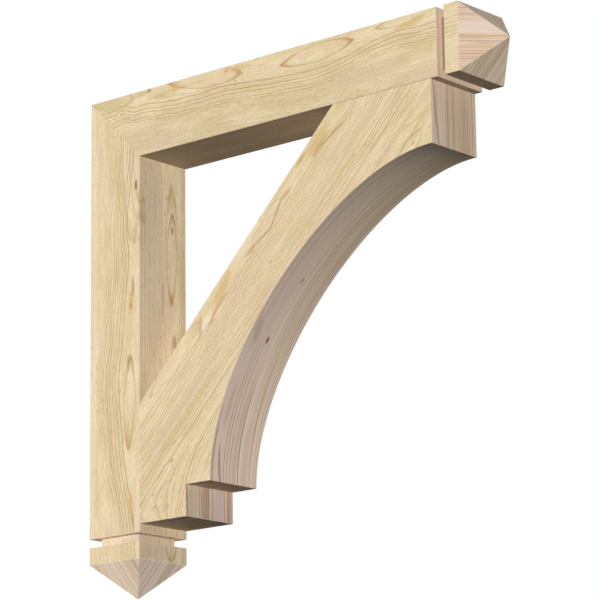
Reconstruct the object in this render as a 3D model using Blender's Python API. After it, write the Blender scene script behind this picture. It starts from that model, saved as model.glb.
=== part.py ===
"""Timber corbel bracket: a wall post and a top arm mitred together, with a curved brace in the angle.

Metres. +X leads away from the wall, Y runs across the timbers and +Z is up. The origin is the middle
of the post's wall face, so the bracket is fixed against the plane X = 0.
"""

import math

import bmesh
import bpy

# Timber sections, all cut from the same square stock
WIDTH = 0.1016
POST_DEPTH = 0.1016
ARM_DEPTH = 0.1016

# From the outer corner of the mitre to the shoulder at each free end
POST_LENGTH = 0.6731
ARM_LENGTH = 0.6731

# Each free end: a groove cut all round, a cap block and a pyramid point
GROOVE_WIDTH = 0.0127
GROOVE_DEPTH = 0.0127
CAP_LENGTH = 0.0254
POINT_LENGTH = 0.0508

# Brace: how far it stops short of each shoulder, and how much of it bears on each timber
BRACE_SETBACK = 0.0127
POST_BEARING = 0.1778
ARM_BEARING = 0.1778

# Brace ends: a two-step foot at the post, and an upright end below the arm
FOOT_RUN = 0.0931
STEP_RISE = 0.0466
STEP_RUN = 0.0466
END_HEIGHT = 0.0931

# Brace front: one smooth hollow from the step to the upright end. It leaves both square, and this is how
# far it keeps to each direction, as a share of the whole rise or run
HOLLOW_PULL = 0.432
HOLLOW_SEGMENTS = 64

# Joint line between two pieces
FIT_GAP = 0.0003

TOP = POST_LENGTH / 2

WOOD = {
    "post wood": (0.62, 0.47, 0.29),
    "arm wood": (0.66, 0.50, 0.31),
    "brace wood": (0.60, 0.44, 0.28),
}
WOOD_ROUGHNESS = 0.65


def clear_scene():
    for obj in list(bpy.data.objects):
        bpy.data.objects.remove(obj)


def wood_material(name):
    material = bpy.data.materials.new(name)
    material.use_nodes = True
    shader = material.node_tree.nodes["Principled BSDF"]
    shader.inputs["Base Color"].default_value = (*WOOD[name], 1.0)
    shader.inputs["Roughness"].default_value = WOOD_ROUGHNESS
    shader.inputs["Metallic"].default_value = 0.0
    return material


def add_object(name, data, material, collection):
    data.materials.append(material)
    obj = bpy.data.objects.new(name, data)
    collection.objects.link(obj)
    return obj


def extend_end(bm, face, advance, grow):
    """Extrude the end face by advance, and push its four sides out by grow, or in where grow is negative."""
    face = bmesh.ops.extrude_discrete_faces(bm, faces=[face])["faces"][0]
    middle = face.calc_center_median()
    for vert in face.verts:
        vert.co.x += math.copysign(1.0, vert.co.x - middle.x) * grow
        vert.co.y += math.copysign(1.0, vert.co.y - middle.y) * grow
        vert.co.z += advance
    return face


def timber_mesh(name, depth, length, mitre_run, gap):
    """A timber along its own +Z, its outer face at X = 0 and its mitred end at the origin.

    The mitre falls back by mitre_run from the outer face to the inner one, and gap is the clearance
    taken off it, square to the joint.
    """
    setback = gap * math.hypot(depth, mitre_run) / depth
    bm = bmesh.new()
    bmesh.ops.create_cube(bm, size=1.0)
    for vert in bm.verts:
        outer = vert.co.x < 0
        mitre = setback if outer else mitre_run + setback
        vert.co.z = mitre if vert.co.z < 0 else length
        vert.co.x = 0.0 if outer else depth
        vert.co.y *= WIDTH
    end = max(bm.faces, key=lambda face: face.calc_center_median().z)
    end = extend_end(bm, end, 0.0, -GROOVE_DEPTH)
    end = extend_end(bm, end, GROOVE_WIDTH, 0.0)
    end = extend_end(bm, end, 0.0, GROOVE_DEPTH)
    end = extend_end(bm, end, CAP_LENGTH, 0.0)
    bmesh.ops.poke(bm, faces=[end], offset=POINT_LENGTH)
    mesh = bpy.data.meshes.new(name)
    bm.to_mesh(mesh)
    bm.free()
    return mesh


def wall_post(collection):
    """The upright timber. It gives up the joint gap of the mitre and points down."""
    mesh = timber_mesh("wall_post", POST_DEPTH, POST_LENGTH, ARM_DEPTH, FIT_GAP)
    post = add_object("wall_post", mesh, wood_material("post wood"), collection)
    post.location.z = TOP
    post.rotation_euler.x = math.pi


def top_arm(collection):
    """The level timber, which keeps its full corner and points away from the wall."""
    mesh = timber_mesh("top_arm", ARM_DEPTH, ARM_LENGTH, POST_DEPTH, 0.0)
    arm = add_object("top_arm", mesh, wood_material("arm wood"), collection)
    arm.location.z = TOP
    arm.rotation_euler.y = math.pi / 2


def hollow_point(start, end, pull, t):
    """A coordinate of the hollow, t of the way from start to end. Pull is how far it keeps to each of them."""
    near, far = start + pull[0], end - pull[1]
    s = 1.0 - t
    return s ** 3 * start + 3 * s ** 2 * t * near + 3 * s * t ** 2 * far + t ** 3 * end


def brace_outline():
    """X and Z of the brace's outline, from the back edge's lower end round by the foot and the hollow."""
    inner_x = POST_DEPTH + FIT_GAP
    inner_z = TOP - ARM_DEPTH - FIT_GAP
    end_x = ARM_LENGTH - BRACE_SETBACK
    foot_z = TOP - POST_LENGTH + BRACE_SETBACK
    step_x = POST_DEPTH + FOOT_RUN
    step_z = foot_z + STEP_RISE
    hollow_x = step_x + STEP_RUN
    hollow_z = TOP - ARM_DEPTH - END_HEIGHT
    points = [
        (inner_x, foot_z + POST_BEARING),
        (inner_x, foot_z),
        (step_x, foot_z),
        (step_x, step_z),
    ]
    # It rises straight from the step, and runs out level to the arm's end
    pull_back = HOLLOW_PULL * (end_x - hollow_x)
    pull_up = HOLLOW_PULL * (hollow_z - step_z)
    for i in range(HOLLOW_SEGMENTS + 1):
        t = i / HOLLOW_SEGMENTS
        x = hollow_point(hollow_x, end_x, (0.0, pull_back), t)
        z = hollow_point(step_z, hollow_z, (pull_up, 0.0), t)
        points.append((x, z))
    points += [(end_x, inner_z), (end_x - ARM_BEARING, inner_z)]
    return points


def curved_brace(collection):
    """The brace, sawn from one board: straight along its back and hollowed in front."""
    outline = brace_outline()
    curve = bpy.data.curves.new("curved_brace", "CURVE")
    curve.dimensions = "2D"
    curve.fill_mode = "BOTH"
    curve.extrude = WIDTH / 2
    spline = curve.splines.new("POLY")
    spline.points.add(len(outline) - 1)
    for point, (x, z) in zip(spline.points, outline):
        point.co = (x, z, 0.0, 1.0)
    spline.use_cyclic_u = True
    brace = add_object("curved_brace", curve, wood_material("brace wood"), collection)
    brace.rotation_euler.x = math.pi / 2


def main():
    clear_scene()
    bracket = bpy.data.collections.new("timber corbel bracket")
    bpy.context.scene.collection.children.link(bracket)
    wall_post(bracket)
    top_arm(bracket)
    curved_brace(bracket)


main()
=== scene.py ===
"""Looks of the timber corbel bracket: sawn faces, cut faces, light, floor and camera.

Metres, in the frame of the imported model. +X leads away from the wall, Y runs across the timbers and
+Z is up. The post is fixed against the plane X = 0.
"""

import math

import bmesh
import bpy
from mathutils import Euler, Matrix, Vector


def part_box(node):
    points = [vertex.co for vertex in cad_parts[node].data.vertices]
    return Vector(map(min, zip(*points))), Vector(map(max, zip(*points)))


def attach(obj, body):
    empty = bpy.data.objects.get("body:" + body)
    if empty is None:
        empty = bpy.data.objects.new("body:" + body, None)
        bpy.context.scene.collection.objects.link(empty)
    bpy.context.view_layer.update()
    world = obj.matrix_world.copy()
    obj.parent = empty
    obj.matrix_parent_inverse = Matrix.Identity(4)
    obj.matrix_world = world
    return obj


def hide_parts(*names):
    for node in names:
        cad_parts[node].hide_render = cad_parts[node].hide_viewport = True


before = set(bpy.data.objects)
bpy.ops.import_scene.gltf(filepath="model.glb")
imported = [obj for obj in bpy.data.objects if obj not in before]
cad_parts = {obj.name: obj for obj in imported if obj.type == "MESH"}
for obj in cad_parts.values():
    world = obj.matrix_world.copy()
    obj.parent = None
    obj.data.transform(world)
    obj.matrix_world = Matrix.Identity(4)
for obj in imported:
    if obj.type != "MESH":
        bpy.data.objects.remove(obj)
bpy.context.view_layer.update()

# The timbers, from the frame
POST_LO, POST_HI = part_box("wall_post")
ARM_LO, ARM_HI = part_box("top_arm")
BRACE_LO, BRACE_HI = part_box("curved_brace")
SECTION = ARM_HI.y - ARM_LO.y
HALF = SECTION / 2
TOP = ARM_HI.z

# Each free end, worked into the end of the timber
POINT_LENGTH = SECTION / 2
CAP_LENGTH = SECTION / 4
GROOVE_WIDTH = SECTION / 8
GROOVE_DEPTH = SECTION / 8

# The brace: its bearing on each timber, the two steps of its foot and the height of its end
BEARING = 0.1778
FOOT_RUN = 0.0931
STEP_RUN = 0.0466
STEP_RISE = 0.0466
END_HEIGHT = 0.0931

# The hollow of its front, and how far it keeps to the direction of each end
HOLLOW_X = POST_HI.x + FOOT_RUN + STEP_RUN
STEP_Z = BRACE_LO.z + STEP_RISE
HOLLOW_TOP = ARM_LO.z - END_HEIGHT
HOLLOW_PULL = 0.432
HOLLOW_STEPS = 64

# The brace is drawn up from a level cut, as deep as this share of its length, and then cut to its back
START_SHARE = 0.6

# The joint of the mitre, the worn arrises, and a distance too small to count
MITRE_GAP = 0.0001
ARRIS = 0.0007
ARRIS_STEPS = 2
NEAR = 0.00005

# Angles of a sharp edge, of a bend that is shaded smooth, and of no bend at all
SHARP = math.radians(20)
SMOOTH = math.radians(5)
STRAIGHT = math.radians(0.5)

# How squarely a face looks in a direction, where 1 is straight at it
SQUARELY = 0.99
MOSTLY = 0.9
SLIGHTLY = 0.1

X_AXIS = Vector((1.0, 0.0, 0.0))
Y_AXIS = Vector((0.0, 1.0, 0.0))
Z_AXIS = Vector((0.0, 0.0, 1.0))


# Modelling helpers

def choose(piece):
    bpy.ops.object.select_all(action="DESELECT")
    piece.select_set(True)
    bpy.context.view_layer.objects.active = piece


def open_for_editing(piece):
    choose(piece)
    bpy.ops.object.mode_set(mode="EDIT")


def close_editing():
    bpy.ops.object.mode_set(mode="OBJECT")


def name_new_piece(name):
    """Name the object that was just added, and apply its place and size."""
    piece = bpy.context.active_object
    piece.name = name
    piece.data.name = name
    bpy.ops.object.transform_apply(location=True, rotation=True, scale=True)
    return piece


def pick(piece, kind, wanted):
    """Select only the faces, edges or vertices that the rule picks out."""
    bpy.ops.mesh.select_mode(type=kind)
    bpy.ops.mesh.select_all(action="DESELECT")
    bm = bmesh.from_edit_mesh(piece.data)
    bm.normal_update()
    parts = {"FACE": bm.faces, "EDGE": bm.edges, "VERT": bm.verts}[kind]
    for part in parts:
        if wanted(part):
            part.select_set(True)
    bm.select_flush_mode()
    bmesh.update_edit_mesh(piece.data)


def extrude(move):
    bpy.ops.mesh.extrude_region_move(TRANSFORM_OT_translate={"value": move})


def turn_outwards():
    bpy.ops.mesh.select_all(action="SELECT")
    bpy.ops.mesh.normals_make_consistent(inside=False)


def soften_arrises(piece, joined):
    """Take the sharpness off every outer edge that isn't part of a joint."""
    def outer(edge):
        if len(edge.link_faces) != 2 or edge.calc_face_angle_signed() <= SHARP:
            return False
        return not all(joined(vert.co) for vert in edge.verts)

    pick(piece, "EDGE", outer)
    bpy.ops.mesh.bevel(offset=ARRIS, segments=ARRIS_STEPS, affect="EDGES", clamp_overlap=True)


def give_materials(piece, sawn, cut, is_cut):
    """Sawn faces take the first material, and the faces that the rule picks out take the second."""
    piece.data.materials.clear()
    piece.data.materials.append(sawn)
    piece.data.materials.append(cut)
    open_for_editing(piece)
    pick(piece, "FACE", is_cut)
    piece.active_material_index = 1
    bpy.ops.object.material_slot_assign()
    close_editing()


def finish_piece(piece, node):
    choose(piece)
    bpy.ops.object.shade_smooth_by_angle(angle=SMOOTH)
    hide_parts(node)
    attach(piece, "root")


# The UV map of the cut faces. The sides of a piece take stretches of grain that lie this far apart, and
# the hollow is this share of its rise and run together
CUT_MAP = "cut grain"
FACE_SHIFT = 3.0
HOLLOW_STRETCH = 0.75


def map_cut_faces(piece, lay_out):
    """A UV map in metres for the cut faces: U runs along the cut, and V across it."""
    bm = bmesh.new()
    bm.from_mesh(piece.data)
    layer = bm.loops.layers.uv.new(CUT_MAP)
    for face in bm.faces:
        for loop in face.loops:
            loop[layer].uv = lay_out(face, loop.vert.co)
    bm.to_mesh(piece.data)
    bm.free()


def stretch_of_grain(across):
    """Where on the map the side of a timber starts whose base runs in this direction."""
    return FACE_SHIFT * (round(across.x) + 2 * round(across.y) + 4 * round(across.z))


def timber_layout(axis):
    """Along each slope towards the tip, and across it along its base."""
    def lay_out(face, point):
        if abs(face.normal.dot(axis)) > SQUARELY:
            across = Y_AXIS
        else:
            across = axis.cross(face.normal).normalized()
        along = face.normal.cross(across)
        return (along.dot(point) + stretch_of_grain(across), sum(across) * across.dot(point))

    return lay_out


def brace_layout(face, point):
    """Up the hollow, counted from its foot, and across from front to back. The flat ends lie further on."""
    middle = face.calc_center_median()
    slack = 2 * ARRIS
    is_back = face.normal.x < -SLIGHTLY
    beyond_step = middle.x > HOLLOW_X - slack and STEP_Z - slack < middle.z < HOLLOW_TOP + slack
    if beyond_step and not is_back:
        return (HOLLOW_STRETCH * (point.x - HOLLOW_X + point.z - STEP_Z), point.y)
    along = face.normal.cross(Y_AXIS)
    side = 2 if is_back else 1
    return (along.dot(point) - FACE_SHIFT * side, point.y)


# The two timbers

def timber(name, length, axis, inner, gap):
    """A square timber along axis, from the outer corner of the mitre to the tip of its point.

    The mitre falls back towards the inner face. The end is cut down for the groove, and comes out
    again to the full section for the cap block and its point.
    """
    corner = Vector((0.0, 0.0, TOP))
    shoulder = length - GROOVE_WIDTH - CAP_LENGTH - POINT_LENGTH
    middle = corner + axis * shoulder / 2 + inner * HALF
    size = [SECTION if part == 0 else shoulder for part in axis]
    bpy.ops.object.select_all(action="DESELECT")
    bpy.ops.mesh.primitive_cube_add(size=1.0, location=middle, scale=size)
    piece = name_new_piece(name)

    def along(point):
        return (point - corner).dot(axis)

    def inward(point):
        return (point - corner).dot(inner)

    open_for_editing(piece)
    pick(piece, "VERT", lambda vert: along(vert.co) < NEAR and inward(vert.co) > HALF)
    bpy.ops.transform.translate(value=axis * SECTION)
    pick(piece, "VERT", lambda vert: along(vert.co) < inward(vert.co) + NEAR)
    bpy.ops.transform.translate(value=axis * gap * math.sqrt(2))
    pick(piece, "FACE", lambda face: along(face.calc_center_median()) > shoulder - NEAR)
    bpy.ops.mesh.inset(thickness=GROOVE_DEPTH)
    extrude(axis * GROOVE_WIDTH)
    extrude((0.0, 0.0, 0.0))
    widen = SECTION / (SECTION - 2 * GROOVE_DEPTH)
    bpy.ops.transform.resize(value=[widen if part == 0 else 1.0 for part in axis])
    extrude(axis * CAP_LENGTH)
    bpy.ops.mesh.poke(offset=POINT_LENGTH)

    def on_mitre(point):
        return along(point) < inward(point) + gap * 2 + NEAR

    soften_arrises(piece, on_mitre)
    close_editing()
    return piece


def timber_cut_faces(axis):
    """The rule for a timber's cut faces: its mitre, the walls of the groove and the point."""
    return lambda face: abs(face.normal.dot(axis)) > SLIGHTLY


# The brace

def hollow_point(start, end, pull, t):
    """A coordinate of the hollow, t of the way from start to end.

    Pull is how far it keeps to each of them.
    """
    near, far = start + pull[0], end - pull[1]
    s = 1.0 - t
    return s ** 3 * start + 3 * s ** 2 * t * near + 3 * s * t ** 2 * far + t ** 3 * end


def hollow_course():
    """The points of the brace's hollow, from the step up to the upright end."""
    pull_back = HOLLOW_PULL * (BRACE_HI.x - HOLLOW_X)
    pull_up = HOLLOW_PULL * (HOLLOW_TOP - STEP_Z)
    course = []
    for step in range(HOLLOW_STEPS + 1):
        t = step / HOLLOW_STEPS
        x = hollow_point(HOLLOW_X, BRACE_HI.x, (0.0, pull_back), t)
        z = hollow_point(STEP_Z, HOLLOW_TOP, (pull_up, 0.0), t)
        course.append(Vector((x, 0.0, z)))
    return course


def brace_board():
    """The brace, drawn up along its hollow from a level cut, then cut to the post, the arm and its back."""
    course = hollow_course()
    depth = START_SHARE * (BRACE_HI.x - BRACE_LO.x)
    bpy.ops.object.select_all(action="DESELECT")
    bpy.ops.mesh.primitive_plane_add(size=1.0, location=(HOLLOW_X - depth / 2, 0.0, STEP_Z))
    bpy.ops.transform.resize(value=(depth, SECTION, 1.0))
    piece = name_new_piece("brace_board")
    open_for_editing(piece)
    pick(piece, "FACE", lambda face: True)
    for below, above in zip(course, course[1:]):
        extrude(above - below)
    extrude(Z_AXIS * (BRACE_HI.z - HOLLOW_TOP))
    turn_outwards()
    back_foot = Vector((BRACE_LO.x, 0.0, BRACE_LO.z + BEARING))
    for place, away in [(BRACE_LO, -X_AXIS), (back_foot, Z_AXIS - X_AXIS)]:
        bpy.ops.mesh.select_all(action="SELECT")
        bpy.ops.mesh.bisect(plane_co=place, plane_no=away, use_fill=True, clear_outer=True)
    turn_outwards()
    step_x = POST_HI.x + FOOT_RUN

    def looks_down(face):
        return face.normal.z < -SQUARELY

    pick(piece, "FACE", lambda face: looks_down(face) and face.calc_center_median().z < STEP_Z + NEAR)
    bpy.ops.mesh.bisect(plane_co=(step_x, 0.0, 0.0), plane_no=X_AXIS)
    pick(piece, "FACE", lambda face: looks_down(face) and face.calc_center_median().x < step_x)
    extrude(Z_AXIS * -STEP_RISE)
    bpy.ops.mesh.select_all(action="SELECT")
    bpy.ops.mesh.remove_doubles(threshold=NEAR)
    bpy.ops.mesh.dissolve_limited(angle_limit=STRAIGHT)
    turn_outwards()
    soften_arrises(piece, lambda point: point.x < BRACE_LO.x + NEAR or point.z > BRACE_HI.z - NEAR)
    close_editing()
    return piece


def brace_cut(face):
    """The rule for the brace's cut faces: its edge all round."""
    return abs(face.normal.y) < MOSTLY


# Camera, light and floor

CAMERA_PLACE = (3.1172, -3.1900, -1.0418)
CAMERA_TURN = (math.radians(103.5916), math.radians(0.7017), math.radians(40.8726))
CAMERA_LENS = 180.51
SENSOR = 36.0
CAMERA_SEES = (0.1, 50.0)

# Each sun: its azimuth and elevation, its strength, its breadth, its tint and whether it casts shadows.
# Angles are in degrees. Azimuth is measured from straight in front, -Y, towards +X
SUNS = {
    "key light": (43.3, -4.0, 2.72, 16.0, (1.0, 1.0, 1.04), False),
    "fill light": (-25.0, 0.0, 1.19, 16.0, (1.01, 1.0, 0.92), True),
    "back light": (203.0, 24.0, 2.9, 20.0, (1.0, 1.0, 1.0), True),
}
AMBIENT_TINT = (0.90, 1.0, 1.15, 1.0)
AMBIENT_STRENGTH = 0.025
WHITE = (1.0, 1.0, 1.0, 1.0)

FLOOR_SIZE = 90.0
FLOOR_HEIGHT = -2.2
FLOOR_COLOUR = (0.86, 0.85, 0.83, 1.0)
FLOOR_ROUGHNESS = 0.9
FLOOR_GLOW = (1.0, 0.99, 0.97, 1.0)
FLOOR_GLOW_STRENGTH = 0.55


def add_camera():
    data = bpy.data.cameras.new("camera")
    data.lens = CAMERA_LENS
    data.sensor_width = SENSOR
    data.clip_start, data.clip_end = CAMERA_SEES
    camera = bpy.data.objects.new("camera", data)
    camera.location = CAMERA_PLACE
    camera.rotation_euler = Euler(CAMERA_TURN, "XYZ")
    bpy.context.scene.collection.objects.link(camera)
    bpy.context.scene.camera = camera


def add_sun(name, azimuth, elevation, strength, breadth, tint, shadow):
    data = bpy.data.lights.new(name, "SUN")
    data.energy = strength
    data.angle = math.radians(breadth)
    data.use_shadow = shadow
    data.color = tint
    sun = bpy.data.objects.new(name, data)
    turn = math.radians(azimuth)
    lift = math.radians(elevation)
    towards = Vector((math.sin(turn) * math.cos(lift), -math.cos(turn) * math.cos(lift), math.sin(lift)))
    sun.rotation_euler = towards.to_track_quat("Z", "Y").to_euler()
    bpy.context.scene.collection.objects.link(sun)


def add_surroundings():
    """A faint light from all round, and plain white where the camera sees past the floor."""
    world = bpy.data.worlds.new("studio")
    bpy.context.scene.world = world
    world.use_nodes = True
    tree = world.node_tree
    tree.nodes.clear()
    path = tree.nodes.new("ShaderNodeLightPath")
    ambient = tree.nodes.new("ShaderNodeBackground")
    ambient.inputs["Color"].default_value = AMBIENT_TINT
    ambient.inputs["Strength"].default_value = AMBIENT_STRENGTH
    backdrop = tree.nodes.new("ShaderNodeBackground")
    backdrop.inputs["Color"].default_value = WHITE
    backdrop.inputs["Strength"].default_value = 1.0
    mix = tree.nodes.new("ShaderNodeMixShader")
    output = tree.nodes.new("ShaderNodeOutputWorld")
    tree.links.new(path.outputs["Is Camera Ray"], mix.inputs["Fac"])
    tree.links.new(ambient.outputs[0], mix.inputs[1])
    tree.links.new(backdrop.outputs[0], mix.inputs[2])
    tree.links.new(mix.outputs[0], output.inputs["Surface"])
    bpy.context.scene.view_settings.view_transform = "Standard"


def add_floor():
    bpy.ops.object.select_all(action="DESELECT")
    bpy.ops.mesh.primitive_plane_add(size=FLOOR_SIZE, location=(0.0, 0.0, FLOOR_HEIGHT))
    floor = bpy.context.active_object
    floor.name = "floor"
    floor.visible_shadow = False
    floor.visible_diffuse = False
    floor.visible_glossy = False
    material = bpy.data.materials.new("pale floor")
    material.use_nodes = True
    shader = material.node_tree.nodes["Principled BSDF"]
    shader.inputs["Base Color"].default_value = FLOOR_COLOUR
    shader.inputs["Roughness"].default_value = FLOOR_ROUGHNESS
    shader.inputs["Emission Color"].default_value = FLOOR_GLOW
    shader.inputs["Emission Strength"].default_value = FLOOR_GLOW_STRENGTH
    floor.data.materials.append(material)


# Materials

# Paints of the sawn wood at full light, as red, green and blue of 255
EARLY_WOOD = (237, 218, 181)
MIDDLE_WOOD = (228, 207, 166)
LATE_LINE = (184, 153, 98)
PINK_WOOD = (226, 201, 171)
OLIVE_WOOD = (210, 194, 138)
ORANGE_WOOD = (232, 178, 124)
PALE_SAP = (242, 224, 192)
TORN_PINK = (248, 226, 204)
AMBER = (221, 178, 112)
RUST = (206, 140, 88)
LOOP_BROWN = (192, 152, 108)
GREY_BROWN = (176, 152, 110)
KNOT_BROWN = (140, 98, 62)
BLOTCH_BROWN = (178, 138, 86)
BLOTCH_TAN = (200, 164, 112)
BLOTCH_AMBER = (216, 184, 124)
NECK_PINK = (226, 208, 188)
NECK_TAN = (208, 192, 164)
# Painted shade: a dark brown for the floor of the arm's groove, standing in for the shade deep in it
GROOVE_PAINTED_SHADE = (128, 104, 80)
CAP_TAN = (222, 202, 168)
SIDE_LINE = (172, 150, 108)
SIDE_GREY = (214, 206, 196)
# Painted shade: a darker grey for the arm's underside, standing in for the shade under it
UNDERSIDE_PAINTED_SHADE = (176, 164, 152)

# Paints of the cut wood
CUT_PALE = (232, 213, 188)
CUT_PINK = (222, 194, 168)
CUT_BROWN = (178, 142, 112)
CUT_ORANGE = (218, 174, 128)
CUT_TAN = (230, 192, 156)
CUT_OLIVE = (206, 186, 146)
CUT_MAUVE = (220, 197, 182)
CUT_RED = (176, 128, 108)
EDGE_PINK = (230, 192, 170)
BAND_PINK = (228, 208, 188)
SLOPE_TAN = (206, 182, 142)
# Painted light: paler than the wood, to lift the lower slope of the arm's point
ARM_SLOPE_PAINTED_LIGHT = (255, 232, 200)
# Painted light: paler and pinker than the wood, to lift the inner slope of the post's point, which faces
# down
POST_SLOPE_PAINTED_LIGHT = (246, 226, 204)
SHOULDER_TAN = (206, 190, 164)
SHOULDER_ORANGE = (206, 172, 138)
# Painted light: paler than the wood, over the brace's hollow
HOLLOW_PAINTED_LIGHT = (255, 230, 204)
HOLLOW_TAN = (232, 212, 178)
KNOT_RED = (120, 60, 52)
KNOT_GREY = (120, 105, 90)

# How often each pattern changes in a metre: along the grain, across it and through it
SWAY_WAVES = (9.0, 26.0, 26.0)
SHIVER_WAVES = (55.0, 150.0, 150.0)
YEAR_WAVES = (0.8, 0.8, 0.8)
SPOT_WAVES = (120.0, 330.0, 330.0)
LOOP_WAVES = (28.0, 110.0, 110.0)
FIBRE_WAVES = (55.0, 460.0, 460.0)
FUZZ_WAVES = (210.0, 330.0, 330.0)
TICK_WAVES = (120.0, 430.0, 430.0)
TICK_AREAS = (11.0, 30.0, 30.0)
TONE_WAVES = (11.0, 46.0, 46.0)
TINT_WAVES = (7.0, 32.0, 32.0)
CUT_FIBRE_WAVES = (16.0, 420.0, 0.0)
CUT_TONE_WAVES = (3.5, 40.0, 0.0)
CUT_VEIN_WAVES = (2.0, 95.0, 0.0)
CUT_BAND_WAVES = (1.6, 210.0, 0.0)

# Growth rings: the space between two on most faces and on the post's inner side, and how far they sway
# and shiver, counted in rings
RING = 0.0042
FINE_RING = 0.0027
SWAY = 1.3
SHIVER = 0.7
UNEVEN_YEARS = 1.4

# The breadth that the course of a grain line is drawn in
COURSE_SPAN = 2 * SECTION

# How deep a mark reaches below its face: most marks, those that mustn't show round the corner, and the
# floor of the groove
SKIN = 0.014
FILM = 0.002
THIN_FILM = 0.001
DEEP = 0.05

# How ragged the edge of a mark is: a spot on a sawn face and on a cut face, a streak, a line and a loop
SAWN_RAGGED = 0.6
CUT_RAGGED = 0.3
STREAK_RAGGED = 0.7
LINE_RAGGED = 0.15
LOOP_RAGGED = 0.25

# Half the length of each spot in a streak, as a share of the way between two places, so that they overlap
STREAK_REACH = 0.6

# The floor of the groove: half its width and a little over, and more than its length
NECK = (0.0068, 0.200)

# The wood's surface: how the light catches its fibres
RELIEF = 0.0004
RELIEF_STRENGTH = 0.35
SMOOTHEST = 0.74
ROUGHEST = 0.90
SHINE = 0.15


def paint(shade):
    """A screen colour as the linear colour that a shader takes."""
    linear = []
    for part in shade:
        value = part / 255
        linear.append(value / 12.92 if value < 0.04045 else ((value + 0.055) / 1.055) ** 2.4)
    return (*linear, 1.0)


class Nodes:
    """A node tree that is being written, with a short call for each kind of node."""

    def __init__(self, tree):
        self.tree = tree

    def put(self, socket, value):
        if isinstance(value, bpy.types.NodeSocket):
            self.tree.links.new(value, socket)
        else:
            socket.default_value = value

    def add(self, kind, inputs=(), **settings):
        node = self.tree.nodes.new(kind)
        for name, value in settings.items():
            setattr(node, name, value)
        for name, value in dict(inputs).items():
            self.put(node.inputs[name], value)
        return node

    def math(self, operation, *values):
        node = self.add("ShaderNodeMath", operation=operation)
        for socket, value in zip(node.inputs, values):
            self.put(socket, value)
        return node.outputs[0]

    def vector(self, operation, *values, output=0):
        node = self.add("ShaderNodeVectorMath", operation=operation)
        for socket, value in zip(node.inputs, values):
            self.put(socket, value)
        return node.outputs[output]

    def ease(self, value, low, high, start=0.0, end=1.0):
        """A smooth step from start to end, as the value goes from low to high."""
        inputs = {"Value": value, "From Min": low, "From Max": high, "To Min": start, "To Max": end}
        return self.add("ShaderNodeMapRange", inputs, interpolation_type="SMOOTHSTEP").outputs["Result"]

    def noise(self, place, waves, detail=2.0, roughness=0.5):
        stretched = self.vector("MULTIPLY", place, waves)
        inputs = {"Vector": stretched, "Scale": 1.0, "Detail": detail, "Roughness": roughness}
        return self.add("ShaderNodeTexNoise", inputs).outputs["Fac"]

    def join(self, x, y=0.0, z=0.0):
        return self.add("ShaderNodeCombineXYZ", {"X": x, "Y": y, "Z": z}).outputs[0]

    def split(self, vector):
        return self.add("ShaderNodeSeparateXYZ", {"Vector": vector}).outputs

    def blend(self, factor, first, second, mode="MIX"):
        """A mix of two colours, which are sockets 6 and 7 of the node."""
        node = self.add("ShaderNodeMix", data_type="RGBA", blend_type=mode)
        self.put(node.inputs[0], factor)
        self.put(node.inputs[6], first)
        self.put(node.inputs[7], second)
        return node.outputs[2]

    def group(self, tree, inputs):
        node = self.add("ShaderNodeGroup")
        node.node_tree = tree
        for name, value in inputs.items():
            self.put(node.inputs[name], value)
        return node.outputs


def new_group(name, vectors, numbers, outputs):
    """An empty node group, with its vector inputs, its number inputs, and outputs that are numbers."""
    tree = bpy.data.node_groups.new(name, "ShaderNodeTree")
    for label in vectors:
        tree.interface.new_socket(label, in_out="INPUT", socket_type="NodeSocketVector")
    for label in numbers:
        tree.interface.new_socket(label, in_out="INPUT", socket_type="NodeSocketFloat")
    for label in outputs:
        tree.interface.new_socket(label, in_out="OUTPUT", socket_type="NodeSocketFloat")
    nodes = Nodes(tree)
    given = nodes.add("NodeGroupInput").outputs
    result = nodes.add("NodeGroupOutput").inputs
    return tree, nodes, given, result


# Node groups that the wood materials share

def ring_group():
    """The lines of late wood. Rings are counted from the first clear line, and there are none before it.

    A line darkens slowly and ends sharply. Past the clear ones they fade.
    """
    tree, nodes, given, result = new_group("growth rings", ["Place"], ["Rings", "Clear"], ["Line"])
    slow = nodes.noise(given["Place"], SWAY_WAVES)
    quick = nodes.noise(given["Place"], SHIVER_WAVES)
    sway = nodes.math("MULTIPLY_ADD", slow, SWAY, -SWAY / 2)
    shiver = nodes.math("MULTIPLY_ADD", quick, SHIVER, -SHIVER / 2)
    depth = nodes.math("ADD", nodes.math("ADD", given["Rings"], sway), shiver)
    uneven = nodes.noise(nodes.join(depth), YEAR_WAVES, 1.0)
    count = nodes.math("MULTIPLY_ADD", uneven, UNEVEN_YEARS, depth)
    part = nodes.math("FRACT", count)
    line = nodes.math("MULTIPLY", nodes.ease(part, 0.36, 0.84), nodes.ease(part, 0.88, 1.0, 1.0, 0.0))
    whole = nodes.math("FLOOR", count)
    year = nodes.add("ShaderNodeTexWhiteNoise", {"W": whole}, noise_dimensions="1D").outputs["Value"]
    strength = nodes.ease(year, 0.0, 1.0, 0.35, 1.0)
    fade = nodes.ease(depth, given["Clear"], nodes.math("MULTIPLY", given["Clear"], 1.7), 1.0, 0.22)
    begun = nodes.ease(depth, -0.7, -0.4)
    shown = nodes.math("MULTIPLY", nodes.math("MULTIPLY", strength, fade), begun)
    nodes.put(result["Line"], nodes.math("MULTIPLY", line, shown))
    return tree


def reach_to(nodes, given, waves):
    """How far a place is from the centre, as (along, across, off the face) in sizes, and a wobble."""
    away = nodes.vector("SUBTRACT", given["Place"], given["Centre"])
    parts = nodes.split(away)
    lean = nodes.math("MULTIPLY", parts["X"], given["Slant"])
    leaned = nodes.join(parts["X"], nodes.math("SUBTRACT", parts["Y"], lean), parts["Z"])
    sized = nodes.vector("ABSOLUTE", nodes.vector("DIVIDE", leaned, given["Size"]))
    rough = nodes.noise(given["Place"], waves)
    return sized, nodes.math("MULTIPLY", nodes.math("SUBTRACT", rough, 0.5), given["Ragged"])


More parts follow.
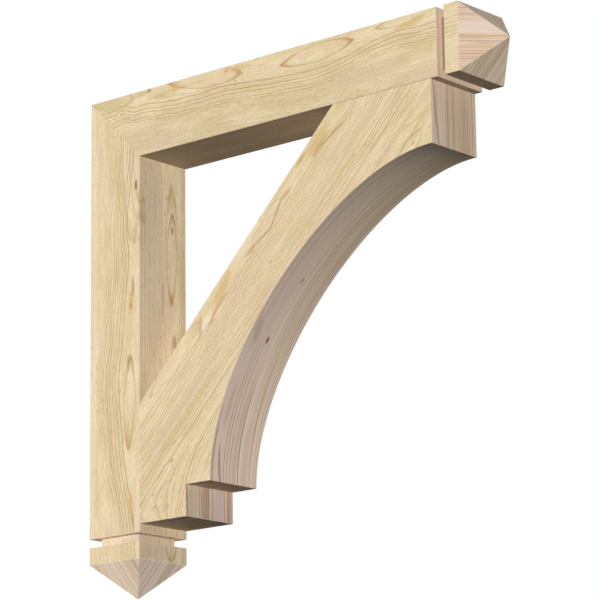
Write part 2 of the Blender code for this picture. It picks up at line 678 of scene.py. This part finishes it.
def spot_group():
    """A knot, stain or smear: a ragged patch with a hard or soft edge, turned on its face by Slant."""
    numbers = ["Slant", "Edge", "Ragged"]
    tree, nodes, given, result = new_group("wood spot", ["Place", "Centre", "Size"], numbers, ["Mask"])
    sized, shift = reach_to(nodes, given, SPOT_WAVES)
    reach = nodes.vector("LENGTH", sized, output=1)
    low = nodes.math("SUBTRACT", 1.0, given["Edge"])
    high = nodes.math("ADD", 1.0, given["Edge"])
    outside = nodes.ease(nodes.math("ADD", reach, shift), low, high)
    nodes.put(result["Mask"], nodes.math("SUBTRACT", 1.0, outside))
    return tree


def loop_group():
    """A ring that the saw cut into a closed loop: pointed ends, a crisp outside and a soft inside."""
    numbers = ["Slant", "Point", "Breadth", "Ragged"]
    tree, nodes, given, result = new_group("grain loop", ["Place", "Centre", "Size"], numbers, ["Line"])
    sized, shift = reach_to(nodes, given, LOOP_WAVES)
    parts = nodes.split(sized)
    along = nodes.math("POWER", parts["X"], given["Point"])
    across = nodes.math("MULTIPLY_ADD", parts["Y"], parts["Y"], along)
    reach = nodes.math("ADD", nodes.math("ADD", across, nodes.math("FLOOR", parts["Z"])), shift)
    soft = nodes.math("MULTIPLY_ADD", given["Breadth"], -3.0, 1.0)
    rise = nodes.ease(reach, soft, 1.0)
    drop = nodes.ease(reach, 1.0, nodes.math("ADD", given["Breadth"], 1.0), 1.0, 0.0)
    ends = nodes.ease(parts["X"], 0.5, 1.0, 0.6, 1.0)
    nodes.put(result["Line"], nodes.math("MULTIPLY", nodes.math("MULTIPLY", rise, drop), ends))
    return tree


def fibre_group():
    """Fine fibres, sawn fuzz and short dark ticks along the grain, with slow changes of tone and tint."""
    outputs = ["Fibre", "Fuzz", "Ticks", "Tone", "Tint"]
    tree, nodes, given, result = new_group("wood fibres", ["Place"], [], outputs)
    place = given["Place"]
    dash = nodes.noise(place, TICK_WAVES, 1.0)
    where = nodes.noise(place, TICK_AREAS)
    ticks = nodes.math("MULTIPLY", nodes.ease(dash, 0.60, 0.72), nodes.ease(where, 0.45, 0.62))
    elsewhere = nodes.vector("ADD", place, (7.3, 2.1, 4.7))
    nodes.put(result["Fibre"], nodes.noise(place, FIBRE_WAVES, 3.0, 0.6))
    nodes.put(result["Fuzz"], nodes.noise(place, FUZZ_WAVES))
    nodes.put(result["Ticks"], ticks)
    nodes.put(result["Tone"], nodes.noise(place, TONE_WAVES, 3.0, 0.6))
    nodes.put(result["Tint"], nodes.noise(elsewhere, TINT_WAVES))
    return tree


GROUPS = {
    "loop": loop_group(),
    "spot": spot_group(),
    "rings": ring_group(),
    "fibres": fibre_group(),
}


class Wood:
    """The material of some faces of a timber, with its marks laid one over another.

    A mark's centre is how far it lies along the grain and across it, and its size is half its length
    and half its breadth. Strength is how much it covers.
    """

    RAGGED = SAWN_RAGGED
    DEPTH = SKIN

    def __init__(self, name):
        self.material = bpy.data.materials.new(name)
        self.material.use_nodes = True
        self.nodes = Nodes(self.material.node_tree)

    def cover(self, mask, strength, shade):
        amount = self.nodes.math("MULTIPLY", mask, strength)
        self.colour = self.nodes.blend(amount, self.colour, paint(shade))

    def spot(self, centre, size, shade, strength, slant=0.0, edge=0.5, ragged=None, depth=None):
        inputs = {
            "Place": self.surface,
            "Centre": (*centre, 0.0),
            "Size": (*size, self.DEPTH if depth is None else depth),
            "Slant": slant,
            "Edge": edge,
            "Ragged": self.RAGGED if ragged is None else ragged,
        }
        self.cover(self.nodes.group(GROUPS["spot"], inputs)["Mask"], strength, shade)

    def lines(self, along, places, size, shade, strength, **how):
        """A thin line at each of the places across the face."""
        for across in places:
            self.spot((along, across), size, shade, strength, **how)

    def stroke(self, places, breadth, shade, strength):
        """A streak that bends: spots laid end to end through the places."""
        for (start, low), (end, high) in zip(places, places[1:]):
            centre = ((start + end) / 2, (low + high) / 2)
            half_length = STREAK_REACH * abs(end - start)
            slant = (high - low) / (end - start)
            self.spot(centre, (half_length, breadth), shade, strength, slant, ragged=STREAK_RAGGED)

    def finish_shader(self, colour, height, fibre):
        nodes = self.nodes
        shader = nodes.tree.nodes["Principled BSDF"]
        relief = {"Height": height, "Strength": RELIEF_STRENGTH, "Distance": RELIEF}
        bump = nodes.add("ShaderNodeBump", relief)
        nodes.put(shader.inputs["Base Color"], colour)
        nodes.put(shader.inputs["Roughness"], nodes.ease(fibre, 0.25, 0.75, SMOOTHEST, ROUGHEST))
        nodes.put(shader.inputs["Normal"], bump.outputs["Normal"])
        shader.inputs["Specular IOR Level"].default_value = SHINE
        return self.material


class SawnWood(Wood):
    """The material of one timber's sawn faces, built up from its growth rings, fibres, knots and stains.

    Places are metres from the origin: along the grain, and across the face. The front faces and the
    side faces are two surfaces, each with its own places. The side face lies at side_at across.
    """

    def __init__(self, name, origin, along, across, side_at):
        super().__init__(name)
        nodes = self.nodes
        turn = Matrix((along, across, along.cross(across)))
        inputs = {
            "Vector": nodes.add("ShaderNodeTexCoord").outputs["Object"],
            "Location": -(turn @ origin),
            "Rotation": turn.to_euler(),
        }
        self.place = nodes.add("ShaderNodeMapping", inputs, vector_type="POINT").outputs[0]
        parts = nodes.split(self.place)
        self.along = parts["X"]
        self.across = parts["Y"]
        self.through = parts["Z"]
        self.front = nodes.join(self.along, self.across, nodes.math("ADD", self.through, HALF))
        self.side = nodes.join(self.along, self.through, nodes.math("SUBTRACT", self.across, side_at))
        self.surface = self.front
        self.fibres = nodes.group(GROUPS["fibres"], {"Place": self.place})
        self.height = nodes.math("MULTIPLY", self.fibres["Fibre"], 0.5)

    def course(self, points, length):
        """How far across the face a grain line lies, all along the timber, drawn through the points."""
        scaled = self.nodes.math("DIVIDE", self.along, length)
        node = self.nodes.add("ShaderNodeFloatCurve", {"Value": scaled})
        curve = node.mapping.curves[0]
        curve.points[0].location = (points[0][0] / length, points[0][1] / COURSE_SPAN)
        curve.points[1].location = (points[-1][0] / length, points[-1][1] / COURSE_SPAN)
        for along, across in points[1:-1]:
            curve.points.new(along / length, across / COURSE_SPAN)
        node.mapping.update()
        return self.nodes.math("MULTIPLY", node.outputs[0], COURSE_SPAN)

    def rings_beside(self, middle, half_strip, ring):
        """Rings on a side face, counted both ways from a strip that has none."""
        nodes = self.nodes
        off_middle = nodes.math("ABSOLUTE", nodes.math("SUBTRACT", self.through, middle))
        return nodes.math("DIVIDE", nodes.math("SUBTRACT", off_middle, half_strip), ring)

    def choose_by_face(self, front, side):
        """The first value on the front and back, and the second on the faces between them."""
        nodes = self.nodes
        normal = nodes.add("ShaderNodeNewGeometry").outputs["True Normal"]
        facing = nodes.math("ABSOLUTE", nodes.vector("DOT_PRODUCT", normal, Y_AXIS, output=1))
        choice = nodes.add("ShaderNodeMix", data_type="FLOAT")
        nodes.put(choice.inputs[0], nodes.math("GREATER_THAN", facing, 0.5))
        nodes.put(choice.inputs[2], side)
        nodes.put(choice.inputs[3], front)
        return choice.outputs[0]

    def paint_wood(self, rings, clear, line_strength=0.9):
        """The bare wood with its rings, of which the first ones are clear and the rest faint."""
        nodes = self.nodes
        fibres = self.fibres
        line = nodes.group(GROUPS["rings"], {"Place": self.place, "Rings": rings, "Clear": clear})["Line"]
        tone = nodes.ease(fibres["Tone"], 0.36, 0.64)
        self.colour = nodes.blend(tone, paint(MIDDLE_WOOD), paint(EARLY_WOOD))
        pink = nodes.ease(fibres["Tint"], 0.50, 0.68, 0.0, 0.6)
        olive = nodes.ease(fibres["Tint"], 0.48, 0.32, 0.0, 0.35)
        self.colour = nodes.blend(pink, self.colour, paint(PINK_WOOD))
        self.colour = nodes.blend(olive, self.colour, paint(OLIVE_WOOD))
        self.cover(line, line_strength, LATE_LINE)
        self.height = nodes.math("MULTIPLY_ADD", line, 0.4, self.height)

    def loop(self, centre, size, strength, slant=0.0, point=1.4, breadth=0.10, shade=LATE_LINE):
        """The outline of a closed ring. The lower its point value, the sharper its ends."""
        inputs = {
            "Place": self.surface,
            "Centre": (*centre, 0.0),
            "Size": (*size, SKIN),
            "Slant": slant,
            "Point": point,
            "Breadth": breadth,
            "Ragged": LOOP_RAGGED,
        }
        self.cover(self.nodes.group(GROUPS["loop"], inputs)["Line"], strength, shade)

    def neck(self, along, across, shade, strength):
        """The floor of the groove, which goes all round."""
        self.spot((along, across), NECK, shade, strength, edge=0.02, ragged=0.0, depth=DEEP)

    def finish(self):
        nodes = self.nodes
        self.cover(self.fibres["Ticks"], 0.50, GREY_BROWN)
        grain = nodes.ease(self.fibres["Fibre"], 0.30, 0.70, 0.95, 1.05)
        fuzz = nodes.ease(self.fibres["Fuzz"], 0.30, 0.70, 0.965, 1.035)
        colour = nodes.blend(1.0, self.colour, nodes.math("MULTIPLY", grain, fuzz), "MULTIPLY")
        return self.finish_shader(colour, self.height, self.fibres["Fibre"])


# The first clear line of grain on the front of the arm and of the post
ARM_FIRST_LINE = [
    (0.0, 0.0210), (0.048, 0.0205), (0.070, 0.0170), (0.088, 0.0225), (0.116, 0.0228),
    (0.149, 0.0262), (0.230, 0.0295), (0.262, 0.0288), (0.310, 0.0325), (0.400, 0.0405),
    (0.437, 0.0420), (0.474, 0.0405), (0.516, 0.0327), (0.557, 0.0235), (0.601, 0.0195),
    (0.644, 0.0210), (0.762, 0.0190),
]
POST_FIRST_LINE = [
    (0.0, 0.094), (0.106, 0.0902), (0.135, 0.0854), (0.159, 0.0789), (0.188, 0.0724),
    (0.250, 0.0659), (0.323, 0.0600), (0.369, 0.0660), (0.414, 0.0696), (0.459, 0.0757),
    (0.503, 0.0800), (0.551, 0.0760), (0.605, 0.0817), (0.660, 0.0890), (0.762, 0.0950),
]


def arm_sawn_faces():
    """The top arm. Places run from the mitre's outer corner, out along the arm and down its face."""
    wood = SawnWood("arm sawn faces", Vector((0.0, 0.0, TOP)), X_AXIS, -Z_AXIS, SECTION)
    nodes = wood.nodes
    below = nodes.math("SUBTRACT", wood.across, wood.course(ARM_FIRST_LINE, ARM_HI.x))
    front = nodes.math("DIVIDE", below, RING)
    wood.paint_wood(wood.choose_by_face(front, wood.rings_beside(0.012, 0.012, RING)), 5.0)
    wood.spot((0.040, 0.008), (0.040, 0.013), OLIVE_WOOD, 0.75, slant=0.15)
    wood.loop((0.044, 0.0040), (0.045, 0.0145), 0.5, slant=0.10)
    wood.loop((0.236, 0.0080), (0.072, 0.0165), 0.85, slant=0.10, point=1.2, shade=LOOP_BROWN)
    wood.loop((0.385, 0.0240), (0.250, 0.0120), 0.35, slant=0.03)
    wood.loop((0.455, 0.0180), (0.066, 0.0140), 0.95, slant=-0.05, point=1.25, shade=LOOP_BROWN)
    wood.loop((0.640, 0.0030), (0.075, 0.0100), 0.55, slant=-0.05)
    wood.spot((0.1218, 0.0037), (0.0045, 0.0032), KNOT_BROWN, 0.85, edge=0.4)
    wood.spot((0.108, 0.0050), (0.016, 0.0040), OLIVE_WOOD, 0.8)
    wood.spot((0.176, 0.0110), (0.0065, 0.0080), AMBER, 0.45, slant=-0.9)
    wood.spot((0.300, 0.0070), (0.030, 0.0050), AMBER, 0.50)
    wood.spot((0.2785, 0.0068), (0.0040, 0.0026), RUST, 0.55)
    wood.spot((0.622, 0.0140), (0.024, 0.0050), AMBER, 0.6, slant=-0.12)
    wood.spot((0.640, 0.0090), (0.014, 0.0040), OLIVE_WOOD, 0.9, slant=-0.12)
    wood.spot((0.543, 0.0712), (0.050, 0.0100), PINK_WOOD, 0.7)
    wood.spot((0.165, 0.0820), (0.040, 0.0080), PINK_WOOD, 0.6)
    wood.spot((0.330, 0.0880), (0.420, 0.0420), GREY_BROWN, 0.20, edge=0.9)
    wood.spot((0.715, 0.0500), (0.030, 0.0700), EARLY_WOOD, 0.45)
    # Painted shade: the floor of the arm's groove is painted dark brown, where the groove lies in shade
    wood.neck(ARM_HI.x - POINT_LENGTH - CAP_LENGTH - GROOVE_WIDTH / 2, HALF, GROOVE_PAINTED_SHADE, 0.8)
    wood.surface = wood.side
    # Painted shade: the arm's underside is painted darker and greyer, as shade falls there
    wood.spot((0.330, 0.0), (0.600, 0.1200), UNDERSIDE_PAINTED_SHADE, 0.6, depth=THIN_FILM)
    return wood.finish()


def post_sawn_faces():
    """The wall post. Places run from the tip of its point, up the post and out from the wall."""
    wood = SawnWood("post sawn faces", Vector((0.0, 0.0, POST_LO.z)), Z_AXIS, X_AXIS, SECTION)
    nodes = wood.nodes
    left_of = nodes.math("SUBTRACT", wood.course(POST_FIRST_LINE, TOP - POST_LO.z), wood.across)
    front = nodes.math("DIVIDE", left_of, RING)
    rings = wood.choose_by_face(front, wood.rings_beside(0.020, 0.022, FINE_RING))
    wood.paint_wood(rings, wood.choose_by_face(7.0, 12.0), 1.0)
    wood.spot((0.420, 0.0060), (0.380, 0.0075), PALE_SAP, 0.5, edge=0.2, ragged=0.1)
    wood.loop((0.285, 0.0815), (0.068, 0.0125), 0.85, slant=0.03, point=1.3, breadth=0.14)
    wood.spot((0.235, 0.0790), (0.018, 0.0035), AMBER, 0.5)
    wood.loop((0.640, 0.0960), (0.080, 0.0150), 0.7, slant=-0.04, point=1.3)
    wood.loop((0.650, 0.1010), (0.062, 0.0120), 0.6, slant=-0.04, point=1.3)
    wood.loop((0.700, 0.0880), (0.170, 0.0250), 0.45, point=1.3)
    wood.spot((0.6164, 0.0947), (0.0080, 0.0028), KNOT_BROWN, 0.75)
    wood.spot((0.6027, 0.1005), (0.0060, 0.0018), RUST, 0.4, depth=FILM)
    wood.spot((0.5700, 0.0930), (0.0160, 0.0050), PINK_WOOD, 0.8, slant=-0.5, depth=FILM)
    wood.spot((0.4600, 0.0890), (0.0160, 0.0022), GREY_BROWN, 0.8)
    wood.spot((0.4400, 0.0850), (0.0150, 0.0034), AMBER, 0.75)
    wood.spot((0.4312, 0.0845), (0.0050, 0.0028), RUST, 0.7)
    wood.spot((0.3450, 0.0790), (0.0130, 0.0022), GREY_BROWN, 0.6)
    wood.spot((0.1350, 0.0840), (0.0170, 0.0042), AMBER, 0.8)
    wood.spot((0.1100, 0.0880), (0.0110, 0.0020), GREY_BROWN, 0.75, slant=-0.15)
    cap = POINT_LENGTH + CAP_LENGTH / 2
    neck = POINT_LENGTH + CAP_LENGTH + GROOVE_WIDTH / 2
    wood.spot((cap, 0.0450), (0.0300, 0.0500), MIDDLE_WOOD, 0.45)
    wood.neck(neck, HALF, NECK_PINK, 0.85)
    wood.surface = wood.side
    wood.neck(neck, 0.0, NECK_TAN, 0.75)
    wood.spot((cap, -0.0160), (0.0300, 0.0240), CAP_TAN, 0.6, depth=THIN_FILM)
    wood.loop((0.0900, 0.0170), (0.0370, 0.0130), 0.75, point=2.0, breadth=0.2)
    wood.spot((0.0660, 0.0180), (0.0090, 0.0040), OLIVE_WOOD, 0.9)
    wood.loop((0.513, 0.0200), (0.069, 0.0115), 0.85, slant=0.02, breadth=0.14)
    wood.loop((0.505, 0.0215), (0.056, 0.0060), 0.35, slant=0.02)
    wood.loop((0.310, 0.0235), (0.080, 0.0095), 0.7, slant=0.02, point=1.5, breadth=0.14)
    wood.loop((0.640, 0.0120), (0.037, 0.0080), 0.6, point=1.6)
    wood.spot((0.5575, 0.0205), (0.0060, 0.0026), KNOT_BROWN, 0.6)
    wood.spot((0.4480, 0.0185), (0.0090, 0.0030), RUST, 0.5)
    wood.spot((0.3850, 0.0266), (0.0120, 0.0030), RUST, 0.45)
    wood.spot((0.4465, 0.0005), (0.0300, 0.0016), GREY_BROWN, 0.6)
    wood.spot((0.4300, -0.0300), (0.3000, 0.0300), SIDE_GREY, 0.25, depth=THIN_FILM)
    wood.loop((0.4500, 0.0200), (0.1750, 0.0185), 0.5)
    lines = (-0.0470, -0.0440, -0.0395, -0.0365, -0.0325, -0.0280, -0.0225, -0.0160, -0.0105)
    wood.lines(0.4300, lines, (0.3200, 0.0006), SIDE_LINE, 0.38, slant=0.004, ragged=0.9)
    return wood.finish()


def brace_sawn_faces():
    """The brace. Places run from the foot of its back edge, up along the edge and away from it."""
    origin = Vector((BRACE_LO.x, 0.0, BRACE_LO.z + BEARING))
    along = (X_AXIS + Z_AXIS).normalized()
    across = (X_AXIS - Z_AXIS).normalized()
    wood = SawnWood("brace sawn faces", origin, along, across, 2 * SECTION)
    nodes = wood.nodes
    # The rings run with the edge, and fan out towards the foot
    lean = nodes.ease(wood.across, 0.10, 0.18, 0.0, 0.30)
    from_arc = nodes.math("SUBTRACT", wood.along, 0.080)
    fanned = nodes.math("MULTIPLY_ADD", lean, nodes.math("MINIMUM", from_arc, 0.0), wood.across)
    rings = nodes.math("DIVIDE", nodes.math("SUBTRACT", fanned, 0.0265), RING)
    wood.paint_wood(rings, 24.0, 0.8)
    wood.spot((0.5560, 0.0120), (0.0300, 0.0100), OLIVE_WOOD, 0.7)
    # The upper blotch: amber, with a brown edge towards the hollow and a dark tail
    wood.stroke([(0.5060, 0.0130), (0.4570, 0.0160)], 0.0085, BLOTCH_AMBER, 0.8)
    brown_edge = [(0.5300, 0.0340), (0.5023, 0.0285), (0.4777, 0.0225), (0.4625, 0.0226)]
    wood.stroke(brown_edge, 0.0017, BLOTCH_BROWN, 0.75)
    wood.stroke([(0.5100, 0.0240), (0.4800, 0.0190)], 0.0036, BLOTCH_TAN, 0.6)
    wood.stroke([(0.4560, 0.0055), (0.4353, 0.0060)], 0.0026, BLOTCH_BROWN, 0.6)
    # The middle one: a long outline, pink within, with a hook at its upper end
    wood.spot((0.3419, 0.0150), (0.0360, 0.0060), PINK_WOOD, 0.45)
    outline = [
        (0.3833, 0.0150), (0.3690, 0.0212), (0.3575, 0.0232), (0.3394, 0.0286), (0.3219, 0.0235),
        (0.3054, 0.0212), (0.2879, 0.0189),
    ]
    wood.stroke(outline, 0.0015, BLOTCH_BROWN, 0.75)
    wood.stroke([(0.3833, 0.0110), (0.3661, 0.0058), (0.3062, 0.0108)], 0.0009, BLOTCH_BROWN, 0.5)
    wood.stroke([(0.4036, 0.0187), (0.3830, 0.0165)], 0.0032, BLOTCH_TAN, 0.8)
    wood.stroke([(0.3800, 0.0150), (0.3620, 0.0205)], 0.0022, BLOTCH_TAN, 0.6)
    wood.stroke([(0.3063, 0.0195), (0.2850, 0.0185)], 0.0034, BLOTCH_TAN, 0.7)
    # The lower one: amber beside the edge, torn out below, with a streak across the grain
    wood.stroke([(0.2407, 0.0110), (0.1959, 0.0180)], 0.0075, BLOTCH_AMBER, 0.8)
    wood.stroke([(0.2214, 0.0242), (0.1896, 0.0250)], 0.0032, BLOTCH_TAN, 0.8)
    wood.spot((0.2434, 0.0069), (0.0060, 0.0026), ORANGE_WOOD, 0.7)
    wood.spot((0.1861, 0.0268), (0.0060, 0.0020), RUST, 0.7)
    wood.spot((0.1766, 0.0318), (0.0060, 0.0028), BLOTCH_TAN, 0.6)
    wood.spot((0.1657, 0.0225), (0.0120, 0.0050), TORN_PINK, 0.9)
    wood.stroke([(0.1814, 0.0268), (0.1613, 0.0330)], 0.0011, BLOTCH_BROWN, 0.8)
    wood.stroke([(0.1642, 0.0110), (0.1434, 0.0285)], 0.0036, BLOTCH_TAN, 0.7)
    wood.stroke([(0.1401, 0.0297), (0.1234, 0.0317)], 0.0017, OLIVE_WOOD, 0.9)
    wood.loop((0.0900, 0.0100), (0.0700, 0.0130), 0.35)
    # Broad changes of colour over the middle of the board
    wood.spot((0.3300, 0.0700), (0.2800, 0.0500), PINK_WOOD, 0.34)
    wood.spot((0.3386, 0.0817), (0.0900, 0.0050), OLIVE_WOOD, 0.4)
    wood.spot((0.4796, 0.0832), (0.0300, 0.0040), OLIVE_WOOD, 0.7)
    wood.spot((0.0300, 0.0870), (0.0900, 0.0050), OLIVE_WOOD, 0.7)
    # The arch of grain above the hollow's upper end
    wood.stroke([(0.5553, 0.1541), (0.5771, 0.1514), (0.6031, 0.1604)], 0.0014, BLOTCH_TAN, 0.8)
    wood.stroke([(0.6026, 0.1615), (0.5976, 0.1680), (0.5750, 0.1723)], 0.0016, OLIVE_WOOD, 0.9)
    wood.stroke([(0.5829, 0.1353), (0.6021, 0.1424), (0.6311, 0.1531)], 0.0022, OLIVE_WOOD, 0.8)
    wood.spot((0.5793, 0.1633), (0.0040, 0.0012), GREY_BROWN, 0.8)
    wood.spot((-0.0190, 0.1120), (0.0025, 0.0016), GREY_BROWN, 0.9)
    return wood.finish()


class CutWood(Wood):
    """The material of one timber's cut faces. Its places are those of its UV map."""

    RAGGED = CUT_RAGGED
    DEPTH = 1.0

    def __init__(self, name, seed, contrast, brightness=1.0):
        super().__init__(name)
        nodes = self.nodes
        self.surface = nodes.add("ShaderNodeUVMap", uv_map=CUT_MAP).outputs["UV"]
        seeded = nodes.vector("ADD", self.surface, (seed, seed, 0.0))
        self.fine = nodes.noise(seeded, CUT_FIBRE_WAVES, 3.0, 0.6)
        tone = nodes.noise(seeded, CUT_TONE_WAVES)
        veins = nodes.noise(seeded, CUT_VEIN_WAVES, 1.0)
        bands = nodes.noise(seeded, CUT_BAND_WAVES, 1.0)
        self.colour = nodes.blend(nodes.ease(tone, 0.36, 0.64), paint(CUT_PALE), paint(CUT_PINK))
        off_vein = nodes.math("ABSOLUTE", nodes.math("SUBTRACT", veins, 0.5))
        vein = nodes.ease(off_vein, 0.0, 0.04, 0.60 * contrast, 0.0)
        band = nodes.ease(bands, 0.52, 0.70, 0.0, 0.45 * contrast)
        self.colour = nodes.blend(band, self.colour, paint(CUT_BROWN))
        self.colour = nodes.blend(vein, self.colour, paint(CUT_BROWN))
        self.brightness = brightness

    def finish(self):
        nodes = self.nodes
        grain = nodes.ease(self.fine, 0.30, 0.70, 0.95, 1.04)
        bright = nodes.math("MULTIPLY", grain, self.brightness)
        colour = nodes.blend(1.0, self.colour, bright, "MULTIPLY")
        return self.finish_shader(colour, self.fine, self.fine)


# The stripes on the arm's front slope: how far down it as a share of its height, half its thickness,
# its colour and how strong it is
FRONT_SLOPE_STRIPES = [
    (0.045, 0.020, EDGE_PINK, 0.5),
    (0.107, 0.006, CUT_BROWN, 0.5),
    (0.136, 0.006, CUT_BROWN, 0.5),
    (0.178, 0.008, CUT_BROWN, 0.6),
    (0.246, 0.011, CUT_TAN, 1.0),
    (0.370, 0.105, BAND_PINK, 0.9),
    (0.502, 0.014, CUT_ORANGE, 1.0),
    (0.572, 0.007, CUT_BROWN, 0.55),
    (0.632, 0.010, CUT_TAN, 1.0),
    (0.672, 0.005, CUT_BROWN, 0.5),
    (0.712, 0.005, CUT_BROWN, 0.6),
    (0.730, 0.018, CUT_TAN, 0.6),
    (0.764, 0.005, CUT_BROWN, 0.6),
    (0.806, 0.005, CUT_BROWN, 0.6),
    (0.840, 0.006, CUT_BROWN, 0.55),
    (0.872, 0.005, CUT_BROWN, 0.5),
    (0.905, 0.005, CUT_BROWN, 0.6),
    (0.950, 0.006, CUT_BROWN, 0.45),
]


def arm_cut_faces():
    """The arm's point, groove walls and mitre. The front slope's stripes are placed by height."""
    wood = CutWood("arm cut faces", 3.0, 0.7)
    run = 0.3
    short_run = 0.12
    slope = stretch_of_grain(-Z_AXIS) + 0.5
    for share, half, shade, strength in FRONT_SLOPE_STRIPES:
        height = TOP - share * SECTION
        wood.spot((slope, height), (run, half * SECTION), shade, strength, ragged=LINE_RAGGED)
    shoulder = stretch_of_grain(Y_AXIS) + 0.285
    wood.spot((shoulder, 0.0), (short_run, 0.0600), SHOULDER_TAN, 0.75)
    wood.spot((shoulder, -0.0490), (short_run, 0.0022), SHOULDER_ORANGE, 0.8)
    top = stretch_of_grain(-Y_AXIS) + 0.30
    wood.spot((top, 0.0), (short_run, 0.0600), SLOPE_TAN, 0.7)
    under = stretch_of_grain(Y_AXIS) + 0.70
    # Painted light: the lower slope of the point is painted paler than the wood, as if more lit; the lines
    # and bands over it are grain
    wood.spot((under, 0.0), (run, 0.08), ARM_SLOPE_PAINTED_LIGHT, 0.8)
    lines = (-0.044, -0.040, -0.033, -0.027, -0.024, -0.012, -0.006)
    wood.lines(under, lines, (run, 0.0007), CUT_BROWN, 0.8, ragged=LINE_RAGGED)
    wood.spot((under, -0.0180), (run, 0.0030), CUT_OLIVE, 0.7)
    wood.spot((under, 0.0020), (run, 0.0050), CUT_OLIVE, 0.7)
    wood.spot((under, 0.0180), (run, 0.0050), CUT_MAUVE, 0.4)
    wood.spot((under, 0.0330), (run, 0.0040), CUT_ORANGE, 0.35)
    return wood.finish()


def post_cut_faces():
    """The post's point, groove walls and mitre."""
    wood = CutWood("post cut faces", 8.0, 0.45, 1.13)
    run = 0.6
    front = stretch_of_grain(X_AXIS)
    wood.spot((front, 0.0500), (run, 0.08), CUT_PALE, 0.25)
    wood.lines(front, (0.050, 0.058, 0.070, 0.077), (run, 0.0008), CUT_BROWN, 0.6, ragged=LINE_RAGGED)
    wood.spot((front, 0.086), (run, 0.0045), CUT_RED, 0.35)
    inner = stretch_of_grain(Y_AXIS)
    # Painted light: the faces on this stretch of grain, the point's downward inner slope among them, are
    # painted paler and pinker than the wood, as if more lit
    wood.spot((inner, 0.0), (run, 0.08), POST_SLOPE_PAINTED_LIGHT, 0.7)
    lines = (-0.035, -0.026, -0.012, -0.004, 0.040)
    wood.lines(inner, lines, (run, 0.0008), CUT_BROWN, 0.7, ragged=LINE_RAGGED)
    wood.spot((inner, 0.018), (run, 0.0050), CUT_OLIVE, 0.7)
    wood.spot((inner, 0.026), (run, 0.0011), CUT_RED, 0.7)
    return wood.finish()


def brace_cut_faces():
    """The brace's edge all round. Places run up the hollow from its foot, and across from front to back."""
    wood = CutWood("brace cut faces", 5.0, 0.6)
    # Painted light: the hollow is painted paler than the wood, most at its foot and fading upwards
    wood.spot((0.1200, 0.0000), (0.4200, 0.0900), HOLLOW_PAINTED_LIGHT, 0.8, edge=0.8)
    wood.spot((0.3400, -0.0300), (0.3600, 0.0280), CUT_MAUVE, 0.6, edge=0.7)
    wood.spot((0.3800, 0.0250), (0.2800, 0.0180), CUT_OLIVE, 0.45)
    wood.spot((0.0500, 0.0000), (0.1000, 0.0050), CUT_OLIVE, 0.6)
    wood.spot((0.0100, 0.0210), (0.0900, 0.0070), CUT_MAUVE, 0.6)
    wood.spot((0.2200, -0.0370), (0.0220, 0.0060), CUT_BROWN, 0.35, slant=-0.2)
    wood.spot((0.1000, -0.0330), (0.0280, 0.0040), CUT_BROWN, 0.35)
    wood.spot((0.2081, -0.0088), (0.0055, 0.0026), KNOT_RED, 0.85, edge=0.4)
    wood.spot((0.3154, -0.0066), (0.0055, 0.0024), KNOT_GREY, 0.6)
    wood.spot((0.0150, -0.0310), (0.0300, 0.0022), CUT_RED, 0.75, slant=-0.15)
    wood.spot((0.0300, -0.0460), (0.0700, 0.0014), CUT_BROWN, 0.8)
    wood.spot((0.0900, 0.0310), (0.0950, 0.0014), CUT_ORANGE, 0.9, slant=-0.04)
    wood.lines(0.0700, (-0.0225, -0.0165, -0.0095), (0.1300, 0.0007), CUT_BROWN, 0.8, slant=-0.01)
    wood.spot((0.0500, 0.0075), (0.1100, 0.0011), CUT_BROWN, 0.85, slant=-0.03)
    wood.spot((0.6000, 0.0), (0.2600, 0.0800), HOLLOW_TAN, 0.5)
    wood.lines(0.4600, (-0.044, -0.033, 0.002, 0.012, 0.019), (0.2400, 0.0008), CUT_BROWN, 0.6, slant=0.01)
    wood.lines(0.3000, (0.0370, 0.0415, 0.0460), (0.3500, 0.0008), CUT_BROWN, 0.6, slant=-0.02)
    # The upright of the step
    step = BRACE_LO.z + STEP_RISE / 2 - FACE_SHIFT
    run = 0.06
    wood.spot((step, -0.0080), (run, 0.0080), CUT_BROWN, 0.6, edge=0.2)
    wood.spot((step, -0.0340), (run, 0.0100), CUT_OLIVE, 0.4)
    wood.spot((step, 0.0190), (run, 0.0095), CUT_MAUVE, 0.8, edge=0.2)
    wood.spot((step, -0.0480), (run, 0.0018), CUT_RED, 0.7, slant=-0.05)
    lines = (-0.0220, -0.0180, 0.0070, 0.0315, 0.0385, 0.0415)
    wood.lines(step, lines, (run, 0.0009), CUT_BROWN, 0.85)
    # The upright end below the arm
    end = HOLLOW_TOP + END_HEIGHT / 2 - FACE_SHIFT
    wood.spot((end, 0.0150), (2 * run, 0.0340), CUT_OLIVE, 0.45)
    wood.spot((end, -0.0410), (run, 0.0014), CUT_RED, 0.75, slant=-0.12)
    wood.spot((end, -0.0214), (2 * run, 0.0012), CUT_PALE, 0.8)
    lines = (-0.0140, -0.0020, 0.0210, 0.0250, 0.0310, 0.0420)
    wood.lines(end, lines, (2 * run, 0.0008), CUT_BROWN, 0.7)
    return wood.finish()


def main():
    add_camera()
    for name, settings in SUNS.items():
        add_sun(name, *settings)
    add_surroundings()
    add_floor()
    post = timber("post_timber", TOP - POST_LO.z, -Z_AXIS, X_AXIS, MITRE_GAP)
    arm = timber("arm_timber", ARM_HI.x, X_AXIS, -Z_AXIS, 0.0)
    brace = brace_board()
    map_cut_faces(post, timber_layout(Z_AXIS))
    map_cut_faces(arm, timber_layout(X_AXIS))
    map_cut_faces(brace, brace_layout)
    give_materials(post, post_sawn_faces(), post_cut_faces(), timber_cut_faces(Z_AXIS))
    give_materials(arm, arm_sawn_faces(), arm_cut_faces(), timber_cut_faces(X_AXIS))
    give_materials(brace, brace_sawn_faces(), brace_cut_faces(), brace_cut)
    finish_piece(post, "wall_post")
    finish_piece(arm, "top_arm")
    finish_piece(brace, "curved_brace")


main()
